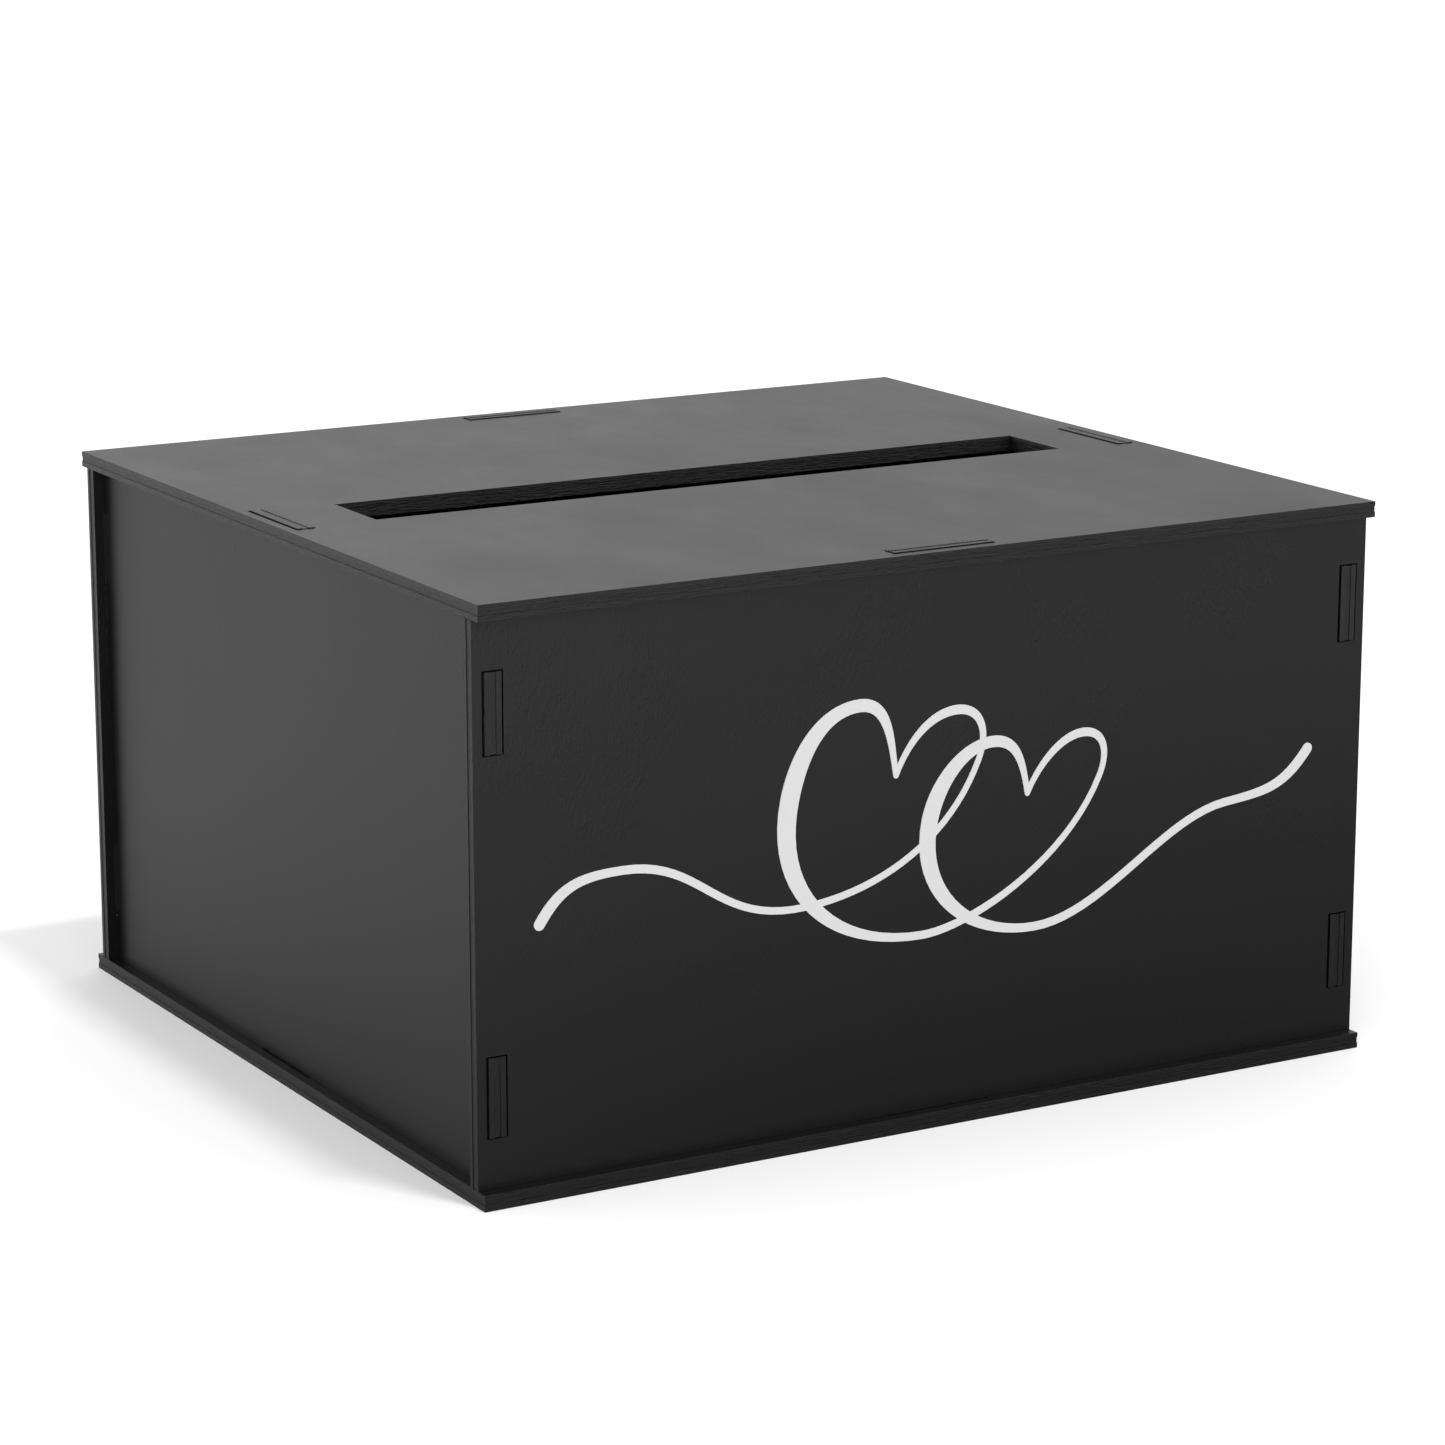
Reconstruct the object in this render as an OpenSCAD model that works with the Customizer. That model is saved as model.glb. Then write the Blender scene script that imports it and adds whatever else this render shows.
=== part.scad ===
// Wedding card box. Six laser-cut plywood boards hold each other with tabs and slots,
// and a thin vinyl flourish is stuck on the front. The lid lifts off its four tabs.
// The origin is under the middle of the base. +X runs right along the front wall,
// +Y runs from the front to the back, and +Z is up.

/* [Box] */
// Width of the base and the lid, left to right
box_w = 300; // [286:1:420]
// Depth of the base and the lid, front to back
box_d = 274; // [200:1:400]
// Height from the floor to the top face of the lid
box_h = 170; // [150:1:300]
// How far the base and the lid stand out past the front and back walls
plate_lip = 4; // [2:0.5:12]
// How far the side walls sit in from the ends of the front and back walls
side_inset = 3.6; // [2:0.2:7]

/* [Plywood] */
// Thickness of the sheet that the base, the lid, the front and the back are cut from
sheet_t = 4.8; // [3:0.1:7]
// Thickness of the sheet that the two side walls are cut from
side_sheet_t = 5.3; // [3:0.1:7]

/* [Tabs] */
// Length of the tabs that go through the base and the lid
plate_tab_l = 33.5; // [15:0.5:60]
// Length of the side walls' tabs that go through the front and back walls
wall_tab_l = 23; // [10:0.5:35]
// Distance between the middles of a side wall's upper and lower tabs
wall_tab_pitch = 108; // [50:1:125]
// How far a tab's end stands out of the face that it comes through
tab_proud = 0.3; // [0:0.1:1]
// How far a bottom tab's end stops short of the underside of the base
base_tab_short = 0.2; // [0:0.1:1]
// Gap between a tab and each long side of its slot
slot_gap = 0.6; // [0.2:0.1:1]
// Gap between a tab and each end of its slot
slot_end_gap = 0.3; // [0.2:0.1:1]

/* [Card slot] */
// Length of the card slot, along the front
card_slot_l = 240; // [150:1:270]
// Width of the card slot, front to back
card_slot_w = 28; // [10:0.5:60]

/* [Flourish] */
// Width of the flourish, tip to tip
flourish_w = 264; // [150:1:270]
// Height of the flourish's middle above the middle of the front wall
flourish_rise = 6; // [-20:1:20]
// Lean of the hearts to the right, as a share of their height
flourish_slant = 0.22; // [0:0.02:0.4]
// Thickness of the vinyl
vinyl_t = 0.25; // [0.1:0.05:1]

/* [Hidden] */

wall_h = box_h - 2 * sheet_t;
wall_mid_z = box_h / 2;
lid_z = box_h - sheet_t;

// Middle planes of the walls, and the clear depth between the front and the back
wall_mid_y = box_d / 2 - plate_lip - sheet_t / 2;
side_mid_x = box_w / 2 - side_inset - side_sheet_t / 2;
inner_d = 2 * wall_mid_y - sheet_t;

tab_reach = sheet_t + tab_proud;
base_tab_reach = sheet_t - base_tab_short;
slot_t = sheet_t + 2 * slot_gap;
side_slot_t = side_sheet_t + 2 * slot_gap;
plate_slot_l = plate_tab_l + 2 * slot_end_gap;
wall_slot_l = wall_tab_l + 2 * slot_end_gap;

ply_color = [0.16, 0.16, 0.165];
side_color = [0.2, 0.2, 0.205];

// The flourish is drawn about its own middle. A knot is
// [x, z, heading in degrees, handle before, handle after, stroke width].
swash_and_heart = [
    [-130, -13, 66, 0, 11, 3.4],
    [-106, -1, 0, 14, 26, 2.5],
    [-42, -20, 4, 30, 26, 2.1],
    [8, 16, 78, 22, 9, 1.9],
    [-3, 32, 180, 8, 9, 2.8],
    [-20, 15, 258, 10, 0, 1.8],
];
heart_to_heart = [
    [-20, 15, 112, 0, 10, 1.8],
    [-37, 37, 180, 10, 13, 3.8],
    [-55, 12, 270, 13, 26, 6.2],
    [0, -34, 0, 32, 16, 2.4],
    [53, 6, 76, 26, 8, 1.9],
    [44, 20, 180, 7, 8, 2.6],
    [28, 4, 256, 8, 0, 1.8],
];
heart_and_swash = [
    [28, 4, 112, 0, 9, 1.8],
    [12, 21, 180, 9, 10, 3.4],
    [-5, 0, 270, 11, 21, 5.6],
    [40, -37, 0, 24, 24, 2.6],
    [102, -8, 6, 22, 15, 2.5],
    [130, 5, 60, 13, 0, 3.4],
];
strokes = [swash_and_heart, heart_to_heart, heart_and_swash];
curve_steps = 20;
end_steps = 10;

// Where the drawn tips end, so that the flourish can be centred and brought to its width
left_tip = swash_and_heart[0];
right_tip = heart_and_swash[len(heart_and_swash) - 1];
drawn_left = slanted(place(left_tip)).x - left_tip[5] / 2;
drawn_right = slanted(place(right_tip)).x + right_tip[5] / 2;
drawn_middle = (drawn_left + drawn_right) / 2;
drawn_scale = flourish_w / (drawn_right - drawn_left);

function unit(v) = v / norm(v);
function left_of(v) = [-v.y, v.x];
function slanted(p) = [p.x + flourish_slant * p.y, p.y];
function place(knot) = [knot[0], knot[1]];
function heading(knot) = [cos(knot[2]), sin(knot[2])];
function handles(a, b) = [
    slanted(place(a)),
    slanted(place(a) + a[4] * heading(a)),
    slanted(place(b) - b[3] * heading(b)),
    slanted(place(b)),
];
function curve_point(h, t) =
    pow(1 - t, 3) * h[0] + 3 * pow(1 - t, 2) * t * h[1]
    + 3 * (1 - t) * pow(t, 2) * h[2] + pow(t, 3) * h[3];
function curve_tangent(h, t) =
    unit(pow(1 - t, 2) * (h[1] - h[0]) + 2 * (1 - t) * t * (h[2] - h[1]) + pow(t, 2) * (h[3] - h[2]));
function eased(t) = t * t * (3 - 2 * t);
function stroke_w(a, b, t) = a[5] + (b[5] - a[5]) * eased(t);

// One side of a stroke's outline: side is 1 for its left edge and -1 for its right edge
function stroke_edge(knots, side) = [
    for (i = [0 : len(knots) - 2], k = [(i == 0 ? 0 : 1) : curve_steps])
        let (t = k / curve_steps, h = handles(knots[i], knots[i + 1]))
            curve_point(h, t)
            + side * stroke_w(knots[i], knots[i + 1], t) / 2 * left_of(curve_tangent(h, t))
];
function reversed(list) = [for (i = [len(list) - 1 : -1 : 0]) list[i]];

// Points of a round end about a knot, turning clockwise from the given angle
function round_end(knot, from_angle) = [
    for (k = [1 : end_steps - 1])
        let (angle = from_angle - 180 * k / end_steps)
            slanted(place(knot)) + knot[5] / 2 * [cos(angle), sin(angle)]
];
function angle_of(v) = atan2(v.y, v.x);

module stroke(knots) {
    last = len(knots) - 1;
    start_angle = angle_of(curve_tangent(handles(knots[0], knots[1]), 0));
    end_angle = angle_of(curve_tangent(handles(knots[last - 1], knots[last]), 1));
    polygon(concat(
        stroke_edge(knots, 1),
        round_end(knots[last], end_angle + 90),
        reversed(stroke_edge(knots, -1)),
        round_end(knots[0], start_angle - 90)
    ));
}

// A board's outline is drawn flat, then stood up where it belongs
module front_slots() {
    for (x = [-side_mid_x, side_mid_x], z = [-wall_tab_pitch / 2, wall_tab_pitch / 2])
        translate([x, z]) square([side_slot_t, wall_slot_l], center = true);
}

// Board of the given width with its top and bottom tabs, drawn about its middle
module wall_outline(width) {
    square([width, wall_h], center = true);
    translate([-plate_tab_l / 2, 0]) square([plate_tab_l, wall_h / 2 + tab_reach]);
    translate([-plate_tab_l / 2, -wall_h / 2 - base_tab_reach])
        square([plate_tab_l, wall_h / 2 + base_tab_reach]);
}

module side_outline() {
    wall_outline(inner_d);
    for (z = [-wall_tab_pitch / 2, wall_tab_pitch / 2])
        translate([0, z]) square([inner_d + 2 * tab_reach, wall_tab_l], center = true);
}

module plate_outline() {
    difference() {
        square([box_w, box_d], center = true);
        for (y = [-wall_mid_y, wall_mid_y])
            translate([0, y]) square([plate_slot_l, slot_t], center = true);
        for (x = [-side_mid_x, side_mid_x])
            translate([x, 0]) square([side_slot_t, plate_slot_l], center = true);
    }
}

// Board standing along X, in the middle plane y
module cross_wall(y) {
    translate([0, y + sheet_t / 2, wall_mid_z]) rotate([90, 0, 0])
        linear_extrude(sheet_t) difference() {
            wall_outline(box_w);
            front_slots();
        }
}

// Board standing along Y, in the middle plane x
module side_wall(x) {
    translate([x - side_sheet_t / 2, 0, wall_mid_z]) rotate([90, 0, 90])
        linear_extrude(side_sheet_t) side_outline();
}

module base_panel() {
    color(ply_color) linear_extrude(sheet_t) plate_outline();
}

module front_wall() {
    color(ply_color) cross_wall(-wall_mid_y);
}

module back_wall() {
    color(ply_color) cross_wall(wall_mid_y);
}

module left_side_wall() {
    color(side_color) side_wall(-side_mid_x);
}

module right_side_wall() {
    color(side_color) side_wall(side_mid_x);
}

module lid_panel() {
    color(ply_color) translate([0, 0, lid_z]) linear_extrude(sheet_t) difference() {
        plate_outline();
        square([card_slot_l, card_slot_w], center = true);
    }
}

module front_flourish() {
    color("white") translate([0, -wall_mid_y - sheet_t / 2, wall_mid_z + flourish_rise])
        rotate([90, 0, 0]) linear_extrude(vinyl_t) scale(drawn_scale)
            translate([-drawn_middle, 0]) for (knots = strokes) stroke(knots);
}

base_panel();
front_wall();
back_wall();
left_side_wall();
right_side_wall();
lid_panel();
front_flourish();
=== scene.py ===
import bpy
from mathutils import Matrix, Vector


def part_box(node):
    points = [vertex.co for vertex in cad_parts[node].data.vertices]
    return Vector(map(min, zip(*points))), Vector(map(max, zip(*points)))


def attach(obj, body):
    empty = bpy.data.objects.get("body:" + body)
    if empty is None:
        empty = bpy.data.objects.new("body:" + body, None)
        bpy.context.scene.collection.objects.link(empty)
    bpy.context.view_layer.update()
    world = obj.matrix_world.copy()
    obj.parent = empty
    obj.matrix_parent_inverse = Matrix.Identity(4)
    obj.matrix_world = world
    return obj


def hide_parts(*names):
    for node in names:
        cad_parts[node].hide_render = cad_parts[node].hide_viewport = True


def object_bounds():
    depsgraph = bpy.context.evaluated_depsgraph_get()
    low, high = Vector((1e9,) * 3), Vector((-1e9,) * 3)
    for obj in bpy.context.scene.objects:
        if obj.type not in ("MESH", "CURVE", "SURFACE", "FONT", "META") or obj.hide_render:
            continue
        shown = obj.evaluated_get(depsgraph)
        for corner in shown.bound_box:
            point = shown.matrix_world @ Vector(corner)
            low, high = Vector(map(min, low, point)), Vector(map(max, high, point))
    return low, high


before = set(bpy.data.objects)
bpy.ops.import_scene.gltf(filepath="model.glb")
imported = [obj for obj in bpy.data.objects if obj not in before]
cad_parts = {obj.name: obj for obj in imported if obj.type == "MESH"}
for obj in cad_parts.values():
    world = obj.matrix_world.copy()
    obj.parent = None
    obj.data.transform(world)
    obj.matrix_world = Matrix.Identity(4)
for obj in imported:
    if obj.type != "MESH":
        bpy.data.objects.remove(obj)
cadLow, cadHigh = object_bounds()
mm = 0.001
print("frame loaded with", len(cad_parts), "nodes")


# Colours, nodes and patterns

def linearColour(hexColour):
    # The standard sRGB curve, from a hex value to linear light
    shares = [int(hexColour[i:i + 2], 16) / 255 for i in (1, 3, 5)]
    return (*[s / 12.92 if s <= 0.04045 else ((s + 0.055) / 1.055) ** 2.4 for s in shares], 1)


def addNode(material, kind, inputs, **settings):
    # An input is a plain value, or another node's output that is linked to it. Inputs that share a
    # name go by number: in a Math node 0, 1 and 2, in a Mix node 0 the share and 6 and 7 the colours.
    node = material.node_tree.nodes.new(kind)
    for name, value in settings.items():
        setattr(node, name, value)
    for name, value in inputs.items():
        if isinstance(value, bpy.types.NodeSocket):
            material.node_tree.links.new(value, node.inputs[name])
        else:
            node.inputs[name].default_value = value
    return node


def newMaterial(name):
    material = bpy.data.materials.new(name)
    material.use_nodes = True
    material.node_tree.nodes.clear()
    return material


def perMetre(*sizes):
    return tuple(1 / (size * mm) for size in sizes)


noiseSpan = (0.3, 0.7)  # where most of a noise's values lie

# Satin black acrylic sprayed on sanded birch plywood. The eye sees an even near-black skin that turns
# grey where it is looked along, faint clouds where the coat is thicker, and the grain's fine ridges.
paintedFace = {
    "colour": "#090909",
    "thinCoatColour": "#0c0c0c",
    "ior": 1.42,
    "cloudSize": (30, 55, 30),  # mm, as the spray passes leave them
    "cloudDetail": 5.0,
    "cloudFineness": 0.62,  # how strongly each finer layer of the clouds shows
    "grainDetail": 2.0,
    "grainWave": 1.2,  # how far the grain's lines wander
    "patchSize": 30,  # mm across a patch where the grain comes through
    "patchDetail": 1.0,
    "patchShift": (-15, 0, -379),  # mm, so that one lies high on the left of the front
    "patchSpan": (0.47, 0.63),  # of the patches' noise, from the least grain to the most
    "plainGrain": 0.2,  # share of the ridges' height that shows between the patches
    "lowGrain": 0.35,  # the same in a patch low on the box, where the coat is thick
    "coatSpan": (50, 150),  # mm up the box, over which the coat gets thinner
    "peelSize": 1.6,  # mm, the orange peel of the sprayed coat
    "peelDetail": 1.0,
    "peelHeight": 0.004,  # mm
}

# The axis that the grain runs along, its ridges in mm, and the roughness from cloud to cloud
plateGrain = {"axis": 0, "length": 9, "width": 1.1, "height": 0.06, "roughness": (0.37, 0.43)}
sideGrain = {"axis": 2, "length": 4, "width": 1.0, "height": 0.05, "roughness": (0.395, 0.405)}
crossGrain = {"axis": 2, "length": 2.5, "width": 1.0, "height": 0.26, "roughness": (0.395, 0.405)}


def makeFacePaint(name, run):
    s = paintedFace
    material = newMaterial(name)
    place = addNode(material, "ShaderNodeTexCoord", {}).outputs["Object"]
    drawn = addNode(material, "ShaderNodeMapping", {"Vector": place, "Scale": perMetre(*s["cloudSize"])})
    clouds = addNode(material, "ShaderNodeTexNoise",
                     {"Vector": drawn.outputs["Vector"], "Scale": 1.0, "Detail": s["cloudDetail"],
                      "Roughness": s["cloudFineness"]})
    colour = addNode(material, "ShaderNodeMix",
                     {0: clouds.outputs["Fac"], 6: linearColour(s["colour"]),
                      7: linearColour(s["thinCoatColour"])}, data_type="RGBA")
    roughness = addNode(material, "ShaderNodeMapRange",
                        {"Value": clouds.outputs["Fac"],
                         "From Min": noiseSpan[0], "From Max": noiseSpan[1],
                         "To Min": run["roughness"][0], "To Max": run["roughness"][1]})

    sizes = [run["width"]] * 3
    sizes[run["axis"]] = run["length"]
    along = addNode(material, "ShaderNodeMapping", {"Vector": place, "Scale": perMetre(*sizes)})
    grain = addNode(material, "ShaderNodeTexNoise",
                    {"Vector": along.outputs["Vector"], "Scale": 1.0, "Detail": s["grainDetail"],
                     "Distortion": s["grainWave"]})
    shifted = addNode(material, "ShaderNodeMapping",
                      {"Vector": place, "Location": [shift * mm for shift in s["patchShift"]]})
    patches = addNode(material, "ShaderNodeTexNoise",
                      {"Vector": shifted.outputs["Vector"], "Scale": perMetre(s["patchSize"])[0],
                       "Detail": s["patchDetail"]})
    up = addNode(material, "ShaderNodeSeparateXYZ", {"Vector": place}).outputs["Z"]
    thinness = addNode(material, "ShaderNodeMapRange",
                       {"Value": up,
                        "From Min": s["coatSpan"][0] * mm, "From Max": s["coatSpan"][1] * mm,
                        "To Min": s["lowGrain"], "To Max": 1.0})
    shown = addNode(material, "ShaderNodeMapRange",
                    {"Value": patches.outputs["Fac"],
                     "From Min": s["patchSpan"][0], "From Max": s["patchSpan"][1],
                     "To Min": s["plainGrain"], "To Max": thinness.outputs["Result"]})
    ridges = addNode(material, "ShaderNodeMath",
                     {0: grain.outputs["Fac"], 1: shown.outputs["Result"]}, operation="MULTIPLY")
    ridgeBump = addNode(material, "ShaderNodeBump",
                        {"Height": ridges.outputs[0], "Strength": 1.0, "Distance": run["height"] * mm})
    peel = addNode(material, "ShaderNodeTexNoise",
                   {"Vector": place, "Scale": perMetre(s["peelSize"])[0], "Detail": s["peelDetail"]})
    peelBump = addNode(material, "ShaderNodeBump",
                       {"Height": peel.outputs["Fac"], "Strength": 1.0,
                        "Distance": s["peelHeight"] * mm, "Normal": ridgeBump.outputs["Normal"]})
    paint = addNode(material, "ShaderNodeBsdfPrincipled",
                    {"Base Color": colour.outputs[2], "Roughness": roughness.outputs["Result"],
                     "IOR": s["ior"], "Normal": peelBump.outputs["Normal"]})
    addNode(material, "ShaderNodeOutputMaterial", {"Surface": paint.outputs["BSDF"]})
    return material


# The same paint on a laser-cut edge, where it soaks in between the fibres. The eye sees a duller,
# slightly streaked band, its streaks running along the plies and never across them.
paintedEdge = {
    "colour": "#090909",
    "fibreColour": "#101010",
    "ior": 1.45,
    "roughness": (0.36, 0.44),
    "gloss": 0.5,  # specular level
    "shadedBaseGloss": 0.38,  # painted shade: a lower specular level that darkens the base's edge, as the shaded floor close beside it would
    "streakLength": 5,  # mm
    "streakWidth": 0.36,  # mm
    "streakHeight": 0.32,  # mm
    "streakDetail": 3.0,
    "streakWave": 0.8,  # how far the streaks wander
}


def makeEdgePaint(name, thinAxis, gloss):
    s = paintedEdge
    material = newMaterial(name)
    place = addNode(material, "ShaderNodeTexCoord", {}).outputs["Object"]
    sizes = [s["streakLength"]] * 3
    sizes[thinAxis] = s["streakWidth"]
    along = addNode(material, "ShaderNodeMapping", {"Vector": place, "Scale": perMetre(*sizes)})
    streaks = addNode(material, "ShaderNodeTexNoise",
                      {"Vector": along.outputs["Vector"], "Scale": 1.0, "Detail": s["streakDetail"],
                       "Distortion": s["streakWave"]})
    colour = addNode(material, "ShaderNodeMix",
                     {0: streaks.outputs["Fac"], 6: linearColour(s["colour"]),
                      7: linearColour(s["fibreColour"])}, data_type="RGBA")
    roughness = addNode(material, "ShaderNodeMapRange",
                        {"Value": streaks.outputs["Fac"],
                         "From Min": noiseSpan[0], "From Max": noiseSpan[1],
                         "To Min": s["roughness"][1], "To Max": s["roughness"][0]})
    bump = addNode(material, "ShaderNodeBump",
                   {"Height": streaks.outputs["Fac"], "Strength": 1.0,
                    "Distance": s["streakHeight"] * mm})
    paint = addNode(material, "ShaderNodeBsdfPrincipled",
                    {"Base Color": colour.outputs[2], "Roughness": roughness.outputs["Result"],
                     "IOR": s["ior"], "Specular IOR Level": gloss, "Normal": bump.outputs["Normal"]})
    addNode(material, "ShaderNodeOutputMaterial", {"Surface": paint.outputs["BSDF"]})
    return material


# Boards

# Sizes that the frame's boxes don't give, in mm. The others are read from the frame.
board = {
    "plateTab": 33.5,  # tabs through the base and the lid
    "wallTab": 23,  # side walls' tabs through the front and the back
    "wallTabPitch": 108,
    "slotGap": 0.6,  # each long side of a tab
    "slotEndGap": 0.3,
    "cardSlot": (240, 28),
    "edgeRound": 0.08,
    "edgeSteps": 2,
    "thinPly": 0.3,  # where the thin ply ends, as a share of the thickness from its own face
    "corePly": 0.65,  # where the core ends
    "glueLine": 0.67,  # where the glue line behind the core ends
    "coreDepth": 0.14,  # how far the core has burnt back
    "glueDepth": 0.08,  # further in from there
}

# The share of a face's normal that is along an axis tells whether the face lies across it or along it
across, nearlyAcross, alongIt = 0.99, 0.9, 0.1


def selectOnly(piece):
    bpy.ops.object.select_all(action="DESELECT")
    bpy.context.view_layer.objects.active = piece
    piece.select_set(True)


def selectFaces(piece, wanted):
    bpy.ops.object.mode_set(mode="EDIT")
    bpy.ops.mesh.select_mode(type="FACE")
    bpy.ops.mesh.select_all(action="DESELECT")
    bpy.ops.object.mode_set(mode="OBJECT")
    for face in piece.data.polygons:
        face.select = bool(wanted(face.center, face.normal))
    bpy.ops.object.mode_set(mode="EDIT")


def cutAcross(axis, places):
    normal = [0, 0, 0]
    normal[axis] = 1
    for place in places:
        point = [0, 0, 0]
        point[axis] = place
        bpy.ops.mesh.select_all(action="SELECT")
        bpy.ops.mesh.bisect(plane_co=point, plane_no=normal)


def makeBoard(name, low, high, thinAxis, tabs, holes):
    # A tab is (axis it reaches along, +1 or -1, axis of its length, its ends, its reach).
    # A hole is {axis: (from, to)} for the two axes of the board's face. All are in metres.
    low, high = Vector(low), Vector(high)
    bpy.ops.mesh.primitive_cube_add(size=1, location=(low + high) / 2, scale=high - low)
    piece = bpy.context.object
    piece.name = name
    selectOnly(piece)
    bpy.ops.object.transform_apply(location=True, rotation=True, scale=True)

    bpy.ops.object.mode_set(mode="EDIT")
    cuts = {0: set(), 1: set(), 2: set()}
    for reachAxis, side, lengthAxis, ends, reach in tabs:
        cuts[lengthAxis].update(ends)
    for hole in holes:
        for axis, ends in hole.items():
            cuts[axis].update(ends)
    for axis, places in cuts.items():
        cutAcross(axis, sorted(places))

    for reachAxis, side, lengthAxis, ends, reach in tabs:
        selectFaces(piece, lambda centre, normal: normal[reachAxis] * side > nearlyAcross
                    and ends[0] < centre[lengthAxis] < ends[1])
        step = [0, 0, 0]
        step[reachAxis] = side * reach
        bpy.ops.mesh.extrude_region_move(TRANSFORM_OT_translate={"value": step})
    for hole in holes:
        selectFaces(piece, lambda centre, normal: abs(normal[thinAxis]) > nearlyAcross
                    and all(ends[0] < centre[axis] < ends[1] for axis, ends in hole.items()))
        bpy.ops.mesh.bridge_edge_loops()

    selectFaces(piece, lambda centre, normal: abs(normal[thinAxis]) > nearlyAcross)
    bpy.ops.mesh.region_to_loop()
    bpy.ops.mesh.bevel(offset=board["edgeRound"] * mm, segments=board["edgeSteps"], affect="EDGES")
    sinkCore(piece, low[thinAxis], high[thinAxis], thinAxis)
    return piece


def sinkCore(piece, start, end, thinAxis):
    # The thin ply is on the upper face of a plate, and on a wall's face at the lower X or Y
    if thinAxis == 2:
        start, end = end, start
    levels = [start + board[ply] * (end - start) for ply in ("thinPly", "corePly", "glueLine")]
    cutAcross(thinAxis, levels)
    for first, last, depth in ((levels[0], levels[2], "coreDepth"), (levels[1], levels[2], "glueDepth")):
        selectFaces(piece, lambda centre, normal: abs(normal[thinAxis]) < alongIt
                    and min(first, last) < centre[thinAxis] < max(first, last))
        bpy.ops.mesh.extrude_region_shrink_fatten(
            TRANSFORM_OT_shrink_fatten={"value": -board[depth] * mm, "use_even_offset": True})
    bpy.ops.object.mode_set(mode="OBJECT")


def span(middle, length):
    return (middle - length / 2, middle + length / 2)


def finishBoard(piece, node, bodyName, thinAxis, facePaint, edgePaint):
    piece.data.materials.append(facePaint)
    piece.data.materials.append(edgePaint)
    for face in piece.data.polygons:
        face.material_index = 0 if abs(face.normal[thinAxis]) > across else 1
    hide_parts(node)
    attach(piece, bodyName)
    print(piece.name, "made with", len(piece.data.polygons), "faces")


baseLow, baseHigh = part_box("base_panel")
lidLow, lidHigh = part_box("lid_panel")
frontLow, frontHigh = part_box("front_wall")
backLow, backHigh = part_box("back_wall")
leftLow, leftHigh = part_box("left_side_wall")
rightLow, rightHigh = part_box("right_side_wall")
floorOfWalls, topOfWalls = baseHigh[2], lidLow[2]
wallMiddle = (floorOfWalls + topOfWalls) / 2

gap, endGap = board["slotGap"] * mm, board["slotEndGap"] * mm
plateTab = span(0, board["plateTab"] * mm)
plateSlot = span(0, board["plateTab"] * mm + 2 * endGap)
wallTabs = [span(wallMiddle + side * board["wallTabPitch"] * mm / 2, board["wallTab"] * mm)
            for side in (-1, 1)]
wallSlots = [(low - endGap, high + endGap) for low, high in wallTabs]


def widened(low, high, axis):
    return (low[axis] - gap, high[axis] + gap)


# Slots in a plate go round the tabs of the four walls
plateHoles = [{0: plateSlot, 1: widened(frontLow, frontHigh, 1)},
              {0: plateSlot, 1: widened(backLow, backHigh, 1)},
              {0: widened(leftLow, leftHigh, 0), 1: plateSlot},
              {0: widened(rightLow, rightHigh, 0), 1: plateSlot}]
# Slots in the front and the back go round the tabs of the side walls
crossHoles = [{0: widened(low, high, 0), 2: slot}
              for low, high in ((leftLow, leftHigh), (rightLow, rightHigh)) for slot in wallSlots]
cardSlot = {axis: span(0, board["cardSlot"][axis] * mm) for axis in (0, 1)}

plateFacePaint = makeFacePaint("satin black paint on plywood, plates", plateGrain)
sideFacePaint = makeFacePaint("satin black paint on plywood, sides", sideGrain)
crossFacePaint = makeFacePaint("satin black paint on plywood, front and back", crossGrain)
edgeGloss = paintedEdge["gloss"]
lidEdgePaint = makeEdgePaint("satin black paint on laser-cut edge, lid", 2, edgeGloss)
# The base's edge is a duller copy of the edge paint, painted shade for the shaded floor beside it
baseEdgePaint = makeEdgePaint("rubbed black paint on laser-cut edge, base", 2, paintedEdge["shadedBaseGloss"])
crossEdgePaint = makeEdgePaint("satin black paint on laser-cut edge, front and back", 1, edgeGloss)
sideEdgePaint = makeEdgePaint("satin black paint on laser-cut edge, sides", 0, edgeGloss)
print("paints mixed")

base = makeBoard("base_board", baseLow, baseHigh, 2, [], plateHoles)
finishBoard(base, "base_panel", "box", 2, plateFacePaint, baseEdgePaint)
lid = makeBoard("lid_board", lidLow, lidHigh, 2, [], plateHoles + [cardSlot])
finishBoard(lid, "lid_panel", "lid", 2, plateFacePaint, lidEdgePaint)

for name, node, low, high in (("front_board", "front_wall", frontLow, frontHigh),
                              ("back_board", "back_wall", backLow, backHigh)):
    tabs = [(2, 1, 0, plateTab, high[2] - topOfWalls), (2, -1, 0, plateTab, floorOfWalls - low[2])]
    wall = makeBoard(name, (low[0], low[1], floorOfWalls), (high[0], high[1], topOfWalls), 1,
                     tabs, crossHoles)
    finishBoard(wall, node, "box", 1, crossFacePaint, crossEdgePaint)

for name, node, low, high in (("left_board", "left_side_wall", leftLow, leftHigh),
                              ("right_board", "right_side_wall", rightLow, rightHigh)):
    innerFront, innerBack = frontHigh[1], backLow[1]
    tabs = [(2, 1, 1, plateTab, high[2] - topOfWalls), (2, -1, 1, plateTab, floorOfWalls - low[2])]
    tabs += [(1, -1, 2, ends, innerFront - low[1]) for ends in wallTabs]
    tabs += [(1, 1, 2, ends, high[1] - innerBack) for ends in wallTabs]
    wall = makeBoard(name, (low[0], innerFront, floorOfWalls), (high[0], innerBack, topOfWalls), 0,
                     tabs, [])
    finishBoard(wall, node, "box", 0, sideFacePaint, sideEdgePaint)


# Flourish

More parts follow.
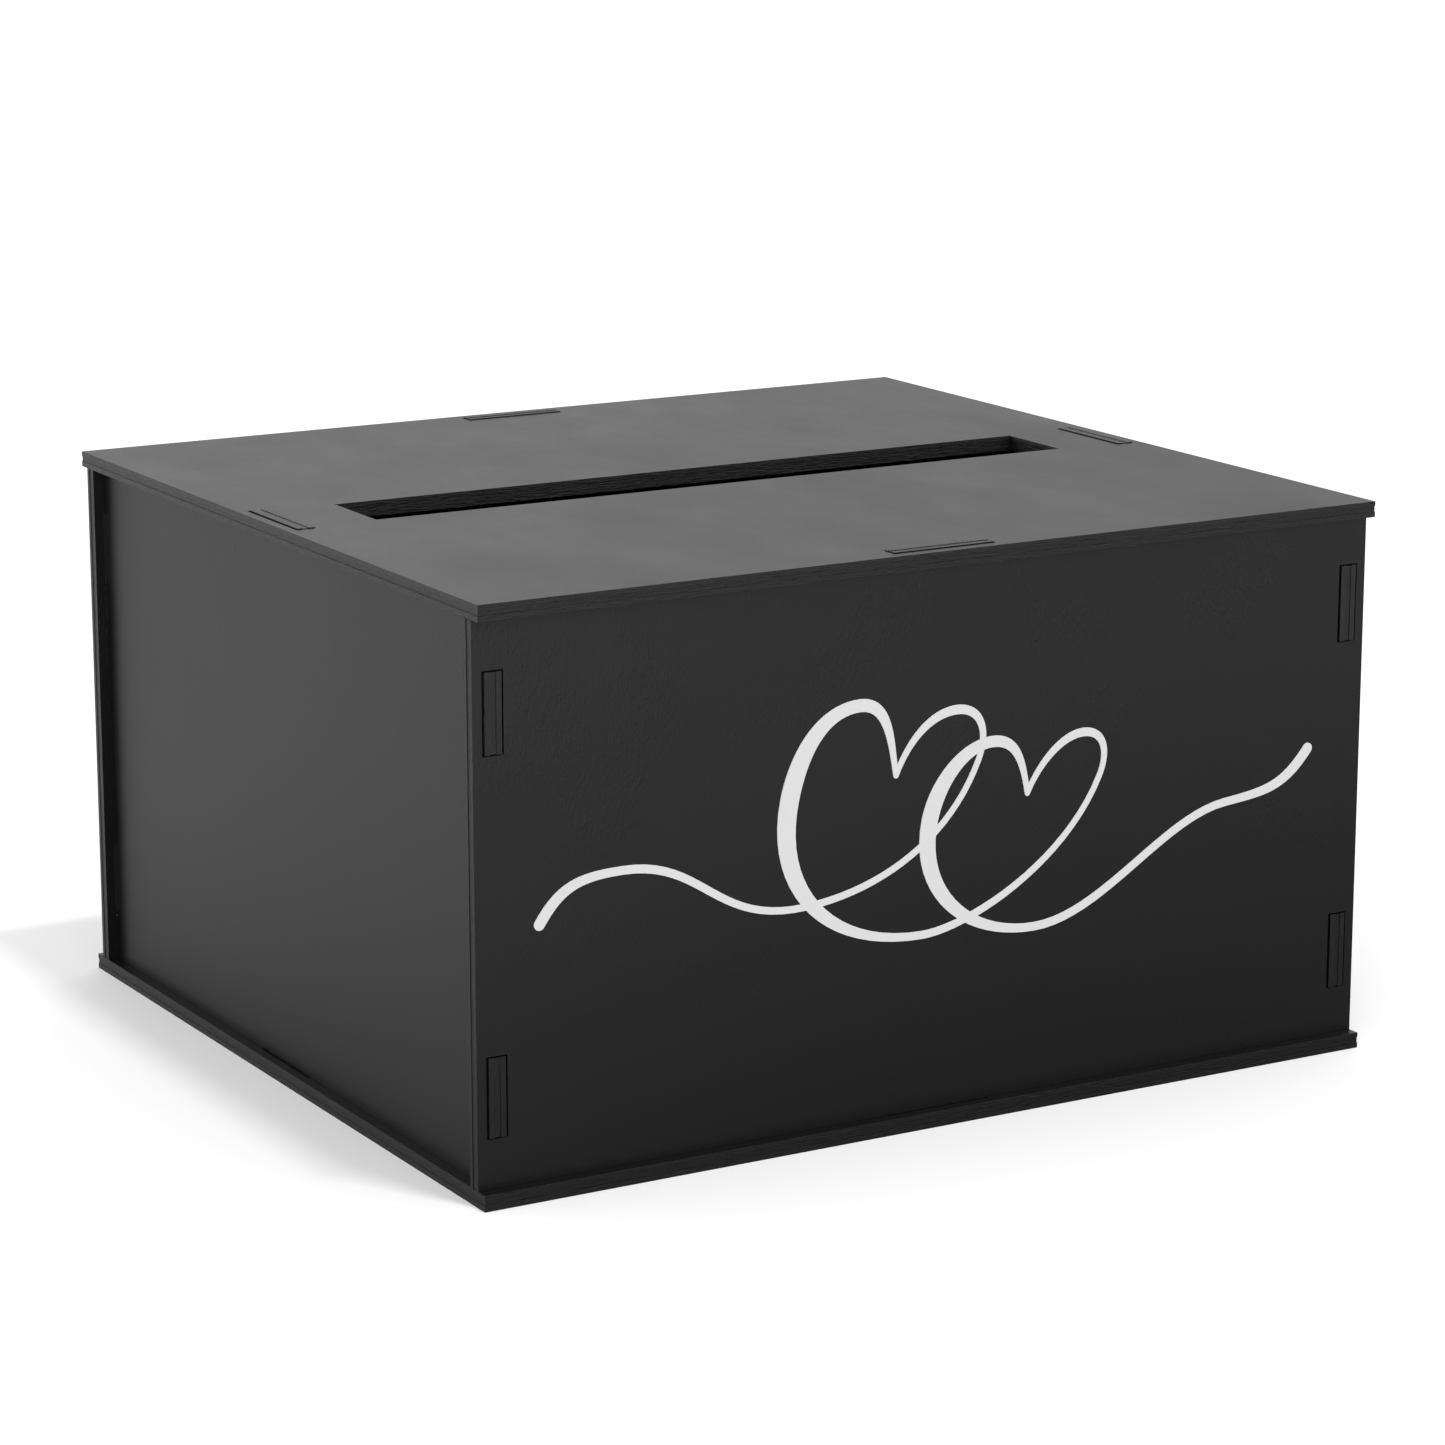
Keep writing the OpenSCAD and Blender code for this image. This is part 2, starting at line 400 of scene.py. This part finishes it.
# Matt white calendered vinyl film, cut and pressed on. The eye sees a flat, even white with no gloss
# to speak of, and up close the film's faint calender grain.
vinylFilm = {
    "colour": "#efefef",
    "ior": 1.46,
    "roughness": 0.62,
    "grainSize": 0.8,  # mm, drawn coarser than the real grain so that it shows
    "grainHeight": 0.004,  # mm
    "grainDetail": 1.0,
}


def makeVinyl():
    s = vinylFilm
    material = newMaterial("matt white vinyl film")
    place = addNode(material, "ShaderNodeTexCoord", {}).outputs["Object"]
    grain = addNode(material, "ShaderNodeTexNoise",
                    {"Vector": place, "Scale": perMetre(s["grainSize"])[0],
                     "Detail": s["grainDetail"]})
    bump = addNode(material, "ShaderNodeBump",
                   {"Height": grain.outputs["Fac"], "Strength": 1.0,
                    "Distance": s["grainHeight"] * mm})
    film = addNode(material, "ShaderNodeBsdfPrincipled",
                   {"Base Color": linearColour(s["colour"]), "Roughness": s["roughness"],
                    "IOR": s["ior"], "Normal": bump.outputs["Normal"]})
    addNode(material, "ShaderNodeOutputMaterial", {"Surface": film.outputs["BSDF"]})
    return material


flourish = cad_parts["front_flourish"]
flourish.data.materials.clear()
flourish.data.materials.append(makeVinyl())
print("flourish dressed in vinyl")


# Floor, light and camera

# Places, sizes and spans are in metres, lamps in watts, the lens and the sensor in mm
studio = {
    "floorSize": 24,
    "floorColour": "#888888",  # as it lights the object
    "floorSeenColour": "#f6f6f6",  # as the camera sees it, so that the backdrop is white
    "floorRoughness": 0.9,
    "floorLift": (0.01, 0.2),  # light added for the camera, by the object and far off
    "liftSpan": (0.6, 3.5),
    "paintedReflectionGlow": 0.6,  # painted reflection: light the floor gives off only to mirrored rays, rising to white away from the object's own shade
    "glowMiddle": (0.2, -0.15, 0),
    "glowSpan": (0.12, 0.8),
    "paintedReflectionPool": 0.95,  # painted reflection: a pool of light on the floor in front, on the left, that only the paint's mirrored rays see
    "poolMiddle": (-0.15, -1.0, 0),
    "poolSpan": (0.1, 0.9),
    "skyShade": 0.8,  # share of the sky's white that is left far to the right
    "shadeSpan": (0.3, 0.75),  # the X of a direction to the sky, over which it dims
    "keyPlace": (0.6, -1.86, 6),
    "keySize": (0.6, 0.36),
    "keyPower": 115,
    "fillPlace": (-3, -4, 3),
    "fillSize": (2, 2),
    "fillPower": 70,
    "cameraPlace": (-0.68263, -1.18343, 0.41618),
    "cameraAim": (0.48871, 0.84135, -0.23083),  # the way it looks
    "cameraLens": 112.498,
    "cameraSensor": 36,
    "cameraClip": (0.05, 60),
}


def addLamp(name, place, size, power, target):
    bpy.ops.object.light_add(type="AREA", location=place)
    lamp = bpy.context.object
    lamp.name = name
    lamp.rotation_euler = (target - Vector(place)).to_track_quat("-Z", "Y").to_euler()
    lamp.data.shape = "RECTANGLE"
    lamp.data.size, lamp.data.size_y = size
    lamp.data.energy = power


bpy.ops.mesh.primitive_plane_add(size=studio["floorSize"])
floor = bpy.context.object
floor.name = "floor"
floorPaint = newMaterial("pale studio floor")
rays = addNode(floorPaint, "ShaderNodeLightPath", {})
mirrored = addNode(floorPaint, "ShaderNodeMath",
                   {0: rays.outputs["Is Glossy Ray"], 1: rays.outputs["Is Transmission Ray"]},
                   operation="MAXIMUM")
place = addNode(floorPaint, "ShaderNodeTexCoord", {}).outputs["Object"]


def fade(middle, reach, low, high):
    # A value that goes from low to high over a reach of distances from a place on the floor
    away = addNode(floorPaint, "ShaderNodeVectorMath", {0: place, 1: middle}, operation="DISTANCE")
    return addNode(floorPaint, "ShaderNodeMapRange",
                   {"Value": away.outputs["Value"], "From Min": reach[0], "From Max": reach[1],
                    "To Min": low, "To Max": high}, interpolation_type="SMOOTHSTEP").outputs["Result"]


# Painted reflection: the floor gives off light that only glossy and transmission rays see, a glow rising
# away from the object and a pool in front on the left, so the paint mirrors a brighter floor than the
# lamps light
glow = addNode(floorPaint, "ShaderNodeMath",
               {0: fade(studio["glowMiddle"], studio["glowSpan"], 0, studio["paintedReflectionGlow"]),
                1: fade(studio["poolMiddle"], studio["poolSpan"], studio["paintedReflectionPool"], 0)},
               operation="ADD")
mirroredGlow = addNode(floorPaint, "ShaderNodeMath", {0: glow.outputs[0], 1: mirrored.outputs[0]},
                       operation="MULTIPLY")
lift = addNode(floorPaint, "ShaderNodeMath",
               {0: rays.outputs["Is Camera Ray"],
                1: fade((0, 0, 0), studio["liftSpan"], *studio["floorLift"]),
                2: mirroredGlow.outputs[0]}, operation="MULTIPLY_ADD")
floorColour = addNode(floorPaint, "ShaderNodeMix",
                      {0: rays.outputs["Is Camera Ray"], 6: linearColour(studio["floorColour"]),
                       7: linearColour(studio["floorSeenColour"])}, data_type="RGBA")
floorShader = addNode(floorPaint, "ShaderNodeBsdfPrincipled",
                      {"Base Color": floorColour.outputs[2], "Roughness": studio["floorRoughness"],
                       "Specular IOR Level": 0.0, "Emission Color": (1, 1, 1, 1),
                       "Emission Strength": lift.outputs[0]})
addNode(floorPaint, "ShaderNodeOutputMaterial", {"Surface": floorShader.outputs["BSDF"]})
floorPaint.cycles.emission_sampling = "NONE"
floor.data.materials.append(floorPaint)

world = bpy.data.worlds.new("studio")
bpy.context.scene.world = world
world.use_nodes = True
world.node_tree.nodes.clear()
world.cycles.sampling_method = "NONE"
worldRays = addNode(world, "ShaderNodeLightPath", {})
way = addNode(world, "ShaderNodeTexCoord", {}).outputs["Generated"]
right = addNode(world, "ShaderNodeSeparateXYZ", {"Vector": way}).outputs["X"]
shade = addNode(world, "ShaderNodeMapRange",
                {"Value": right,
                 "From Min": studio["shadeSpan"][0], "From Max": studio["shadeSpan"][1],
                 "To Min": 1.0, "To Max": studio["skyShade"]}, interpolation_type="SMOOTHSTEP")
strength = addNode(world, "ShaderNodeMath",
                   {0: worldRays.outputs["Is Camera Ray"], 1: shade.outputs["Result"]},
                   operation="MAXIMUM")
sky = addNode(world, "ShaderNodeBackground",
              {"Color": (1, 1, 1, 1), "Strength": strength.outputs[0]})
addNode(world, "ShaderNodeOutputWorld", {"Surface": sky.outputs["Background"]})

boxMiddle = (cadLow + cadHigh) / 2
for lamp in ("key", "fill"):
    addLamp(lamp, studio[lamp + "Place"], studio[lamp + "Size"], studio[lamp + "Power"], boxMiddle)

bpy.ops.object.camera_add(location=studio["cameraPlace"])
camera = bpy.context.object
camera.rotation_euler = Vector(studio["cameraAim"]).to_track_quat("-Z", "Y").to_euler()
camera.data.sensor_width = studio["cameraSensor"]
camera.data.lens = studio["cameraLens"]
camera.data.clip_start, camera.data.clip_end = studio["cameraClip"]
bpy.context.scene.camera = camera
bpy.context.scene.view_settings.view_transform = "Standard"
print("studio lit and camera placed")
